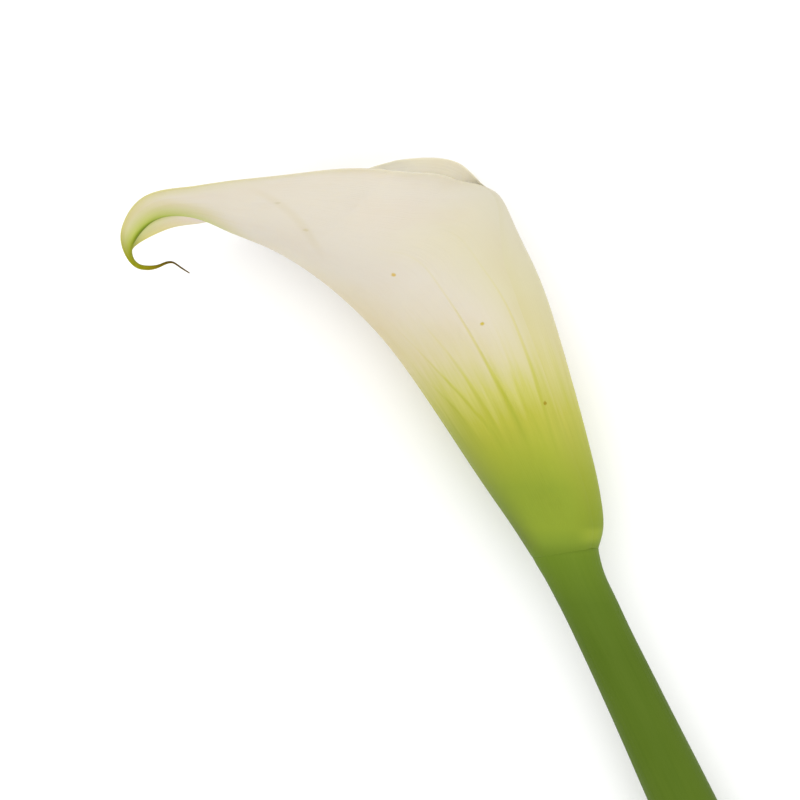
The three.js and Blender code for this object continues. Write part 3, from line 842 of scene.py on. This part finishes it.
class Skin(Shade):
    """A material for the spathe's skin, with the places on it that its colours go by."""

    def __init__(self, name):
        super().__init__(name, SKIN_ROUGHNESS, SKIN_SPECULAR)
        self.along, across = self.place("Place")
        self.height, self.c = self.place("Rise", MAP_MM)
        self.station = self.along * MAP_MM
        self.u = across * 2.0 - 1.0
        self.side = abs(self.u)
        self.is_upper = self.remap(across, *UPPER_BLEND)

    def within(self, span):
        """1 inside a span of stations, and 0 outside it."""
        return self.remap(self.station, *span[:2]) * self.fade(self.station, *span[2:])

    def pattern(self, per_u, per_mm, seed, detail):
        """Noise drawn out along the skin, from 0 to 1 about a half."""
        return self.noise(self.vector(self.u * per_u, self.station * per_mm, seed), 1.0, detail)


def vein_marks(skin, side, reach):
    """How much of a vein there is, 0 to 1, at this share of a side. reach lengthens the veins, in mm."""
    marks = 0.0
    first, last, *widths = VEIN_WIDTH
    width = skin.remap(skin.along, first / MAP_MM, last / MAP_MM, *widths)
    for strength, top, points in VEINS:
        middle = skin.curve(skin.along, [(station / MAP_MM, u) for station, u in points])
        away = abs(side - middle)
        end = top + reach
        fade = skin.remap(skin.along, (end - VEIN_FADE) / MAP_MM, end / MAP_MM, strength, 0.0)
        core = skin.fade(away / width, *VEIN_CORE)
        marks = skin.math("MAXIMUM", marks, core * fade)
    return marks


def funnel_colour(skin, lifted, outdoors):
    """Green at the neck to cream at the mouth, by the height that the veins and streaks have shifted."""
    if not outdoors:
        # the inside's paler stops are painted light against the funnel's shade
        return skin.stops(lifted, INSIDE_PAINTED_LIGHT_STOPS)
    # the back's stops are partly painted shade where it turns away from the light
    flank, back = skin.stops(lifted, FLANK_STOPS), skin.stops(lifted, BACK_TONE_AND_SHADE_STOPS)
    colour = skin.mix(skin.fade(skin.side, *FLANK_BLEND), flank, back)
    upper_start = skin.remap(skin.height, *UPPER_FRONT_START)
    start = skin.mix_value(skin.is_upper, LOWER_FRONT_BLEND[0], upper_start)
    end = skin.mix_value(skin.is_upper, LOWER_FRONT_BLEND[1], UPPER_FRONT_END)
    at_front = skin.remap(skin.side, start, end) * skin.fade(skin.station, *FRONT_FADE)
    colour = skin.mix(at_front, colour, skin.stops(lifted, FRONT_STOPS))
    colour = skin.mix(skin.remap(skin.height, *NECK_BLEND), skin.stops(skin.height, STEM_STOPS), colour)
    # painted highlight on the rounded shoulder where the wrapped front meets the stem
    fold_highlight = skin.fade(abs(skin.height - FOLD_HEIGHT), *FOLD_FADE_HEIGHT)
    fold_highlight = fold_highlight * skin.fade(abs(skin.c - FOLD_C), *FOLD_FADE_C)
    return skin.tint(fold_highlight * skin.remap(skin.side, *FOLD_SIDE_BLEND), colour, FOLD_PAINTED_HIGHLIGHT)


def tip_colour(skin, colour, streaks, outdoors):
    """Turns colour to the green of the curled tip and its end, adds painted light on its shaded flap, and
    tints its rims and keel, partly with painted shade.
    """
    lean = skin.mix_value(skin.is_upper, TIP_LEAN_LOWER, TIP_LEAN_UPPER)
    towards_tip = skin.station - skin.side * lean + (streaks - 0.5) * TIP_FRAY
    share = skin.remap(towards_tip, *TIP_BLEND) * (1.0 if outdoors else TIP_SHARE_INSIDE)
    colour = skin.mix(share, colour, skin.stops(towards_tip, TIP_STOPS))
    if outdoors:
        # painted light: lifts the flap's colour where the curl shades it
        colour = skin.tint(skin.within(FLAP_SPAN) * skin.fade(skin.u, *FLAP_FADE_U), colour, FLAP_PAINTED_LIGHT)
    colour = skin.mix(skin.remap(skin.station, *END_BLEND), colour, skin.stops(skin.station, END_STOPS))
    # the first rim tint is partly painted shade on the rounded rim of the funnel
    for blend, strength, by in RIM_TINTS_AND_SHADE:
        rim = skin.remap(skin.side, *blend) * skin.remap(skin.station, *strength)
        colour = skin.tint(rim, colour, by)
    # the midrib's own green, widened into painted shade along the fold at the keel
    from_keel = skin.side / skin.remap(skin.station, *KEEL_WIDTH)
    keel = skin.remap(from_keel, *KEEL_CORE, KEEL_OUTSIDE if outdoors else KEEL_INSIDE, 0)
    return skin.tint(skin.within(KEEL_SPAN) * keel, colour, KEEL_GREEN_AND_SHADE)


def blemished_and_shaded(skin, colour):
    """Adds the near rim's yellow band, painted shade along the crease across the limb, and the small spots.
    """
    near_rim = skin.within(NEAR_RIM_SPAN) * skin.remap(skin.u, *NEAR_RIM_BLEND_U)
    colour = skin.tint(near_rim, colour, NEAR_RIM_TINT)
    middle = skin.curve(skin.along, [(station / MAP_MM, u) for station, u in CREASE])
    # painted shade along the crease
    crease_shade = skin.within(CREASE_SPAN) * skin.remap(abs(skin.u - middle), *CREASE_WIDTH)
    colour = skin.tint(crease_shade, colour, CREASE_PAINTED_SHADE)
    spot = skin.vector(skin.station, skin.u * SIDE_LENGTH)
    ragged = skin.noise(spot, SPECK_NOISE)
    for station, u, radius, by in SPECKS:
        away = skin.distance(spot, (station, u * SIDE_LENGTH, 0)) + (ragged - 0.5) * radius
        colour = skin.tint(skin.fade(away, SPECK_CORE * radius, radius), colour, by)
    return colour


def petal(name, outdoors):
    """The spathe's skin: green climbs along the veins into cream, and the curled tip is green."""
    skin = Skin(name)
    streaks = skin.pattern(*STREAKS)
    wavy_side = skin.side + (skin.pattern(*WOBBLE) - 0.5) * VEIN_WOBBLE
    veins = vein_marks(skin, wavy_side, 0) * skin.remap(skin.height, *VEIN_RISE)
    window = skin.remap(skin.height, *STREAK_RISE) * skin.remap(skin.height, *STREAK_FADE)
    lifted = skin.height - veins * VEIN_LIFT + (streaks - 0.5) * (window * STREAK_LIFT)

    colour = funnel_colour(skin, lifted, outdoors)
    colour = tip_colour(skin, colour, streaks, outdoors)
    yellow = vein_marks(skin, wavy_side, VEIN_REACH) * skin.remap(skin.height, *VEIN_TINT_HEIGHT)
    colour = skin.tint(yellow, colour, VEIN_TINT)
    colour = skin.mark(skin.pattern(*CLOUDS), colour, *CLOUD_MARK)
    fibres = skin.pattern(*FIBRES)
    colour = skin.mark(fibres, colour, *FIBRE_MARK)
    skin.colour(blemished_and_shaded(skin, colour) if outdoors else colour)

    skin.bump(fibres * FIBRE_RELIEF + veins * VEIN_RELIEF, SKIN_RELIEF)
    skin.soften(skin.place("Soak", SKIN_SOAK)[0], SKIN_SOAK_DEPTH)
    return skin.material


def stem_skin():
    """Smooth green skin with faint lines along the stem."""
    shade = Shade("stem_skin", SKIN_ROUGHNESS, SKIN_SPECULAR)
    height, _ = shade.place("Rise", MAP_MM)
    across, up = shade.place("Round")
    along, _ = shade.place("Place", MAP_MM)
    lines_at = shade.vector(across * STEM_LINES[0], up * STEM_LINES[0], along * STEM_LINES[1])
    lines = shade.noise(lines_at, 1.0, STEM_LINE_DETAIL)
    patches_at = shade.vector(across * STEM_PATCHES[0], up * STEM_PATCHES[0], along * STEM_PATCHES[1])
    patches = shade.noise(patches_at, 1.0)
    dots = shade.cells(lines_at, STEM_DOTS)
    colour = shade.stops(height, STEM_STOPS)
    colour = shade.mark(lines, colour, *STEM_LINE_MARK)
    colour = shade.mark(patches, colour, *STEM_PATCH_MARK)
    shade.colour(shade.mark(dots, colour, *STEM_DOT_MARK))
    shade.bump(lines, STEM_RELIEF)
    return shade.material


def stem_cut():
    """The cut end: pale spongy pith, full of air channels darkened with painted shade, inside a thin green
    rind.
    """
    shade = Shade("stem_cut", roughness=0.5, specular=0.35)
    spot = shade.vector(*shade.place("Cut", MAP_MM))
    channels = shade.cells(spot, CUT_CHANNELS)
    strands = shade.cells(spot, CUT_STRANDS)
    colour = shade.stops(shade.distance(spot, (0.0, 0.0, 0.0)), CUT_STOPS)
    # painted shade inside the air channels
    colour = shade.mark(channels, colour, *CUT_CHANNEL_SHADE_MARK)
    shade.colour(shade.mark(strands, colour, *CUT_STRAND_MARK))
    shade.bump(channels, CUT_RELIEF)
    shade.soften(CUT_SOAK, CUT_SOAK_DEPTH)
    return shade.material


def floret_skin():
    """Golden pollen on the crowns, darker towards the seams as painted shade, and greener pistils at the
    foot.
    """
    shade = Shade("floret_skin", roughness=0.85, specular=0.15)
    place, crown = shade.place("Place")
    across, up = shade.place("Round")
    along = place * MAP_MM
    is_stamen = shade.remap(along, PISTIL_ZONE - PISTIL_COLOUR_BLEND, PISTIL_ZONE + PISTIL_COLOUR_BLEND)
    # the crown-to-seam stops paint shade into the seams between the florets
    colour = shade.mix(is_stamen, shade.stops(crown, PISTIL_SEAM_SHADE_STOPS), shade.stops(crown, STAMEN_SEAM_SHADE_STOPS))
    grain_at = shade.vector(across * POLLEN_GRAIN[0], up * POLLEN_GRAIN[0], along * POLLEN_GRAIN[1])
    grain = shade.noise(grain_at, 1.0, POLLEN_DETAIL)
    shade.colour(shade.mark(grain, colour, *POLLEN_MARK))
    shade.bump(grain, FLORET_RELIEF)
    return shade.material


def floor_white():
    shade = Shade("floor_white", roughness=0.9, specular=0.1)
    shade.colour((FLOOR_GREY, FLOOR_GREY, FLOOR_GREY, 1))
    return shade.material


def dress(piece, node):
    """Puts a piece on the part's one body, in place of its CAD node."""
    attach(piece, "root")
    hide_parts(node)


def to_world(vector):
    """A direction of the flower's frame in the part's frame."""
    return Matrix.Rotation(-LIE_SLOPE, 3, "Y") @ Vector(vector)


def add_camera():
    """Looks square at the flower's plane of symmetry, with the stem leaning as the photograph shows it."""
    right = to_world((STEM_DIRECTION_PX[0], STEM_DIRECTION_PX[1], 0)).normalized()
    up = to_world((-STEM_DIRECTION_PX[1], STEM_DIRECTION_PX[0], 0)).normalized()
    back = right.cross(up)
    dx, dy = (PICTURE_PX / 2 - at for at in NECK_PX)
    a = (dx * STEM_DIRECTION_PX[0] + dy * STEM_DIRECTION_PX[1]) / PX_PER_MM
    b = (dx * STEM_DIRECTION_PX[1] - dy * STEM_DIRECTION_PX[0]) / PX_PER_MM
    target = Vector(lie(np.array([a, b, 0.0])) * MM)
    data = bpy.data.cameras.new("camera")
    data.sensor_width = SENSOR_MM
    data.lens = SENSOR_MM * CAMERA_DISTANCE / (PICTURE_PX / PX_PER_MM)
    data.clip_start = CLIP_START
    camera = add_object("camera", data)
    turn = Matrix((right, up, back)).transposed().to_4x4()
    camera.matrix_world = Matrix.Translation(target + back * CAMERA_DISTANCE * MM) @ turn
    bpy.context.scene.camera = camera


def add_studio():
    """A pale floor under an even dome of light, with one large soft box for shape."""
    corners = np.array([(-1, -1, 0), (1, -1, 0), (1, 1, 0), (-1, 1, 0)]) * FLOOR_HALF
    floor = mesh_object("floor", corners, [(0, 1, 2, 3)], {}, [floor_white()], [0])
    world = bpy.data.worlds.new("studio")
    world.use_nodes = True
    sky = world.node_tree.nodes["Background"]
    sky.inputs["Color"].default_value = (1, 1, 1, 1)
    sky.inputs["Strength"].default_value = DOME_STRENGTH
    bpy.context.scene.world = world
    place, width, power = SOFTBOX
    data = bpy.data.lights.new("softbox", "AREA")
    data.shape = "DISK"
    data.size = width
    data.energy = power
    softbox = add_object("softbox", data)
    softbox.location = place
    softbox.rotation_euler = (-Vector(place)).to_track_quat("-Z", "Y").to_euler()
    bpy.context.scene.view_settings.view_transform = "Standard"


add_camera()
dress(build_spathe(petal("petal_outside", True), petal("petal_inside", False)), "spathe")
dress(build_stem(stem_skin(), stem_cut()), "stem")
dress(build_spadix(floret_skin()), "spadix")
add_studio()
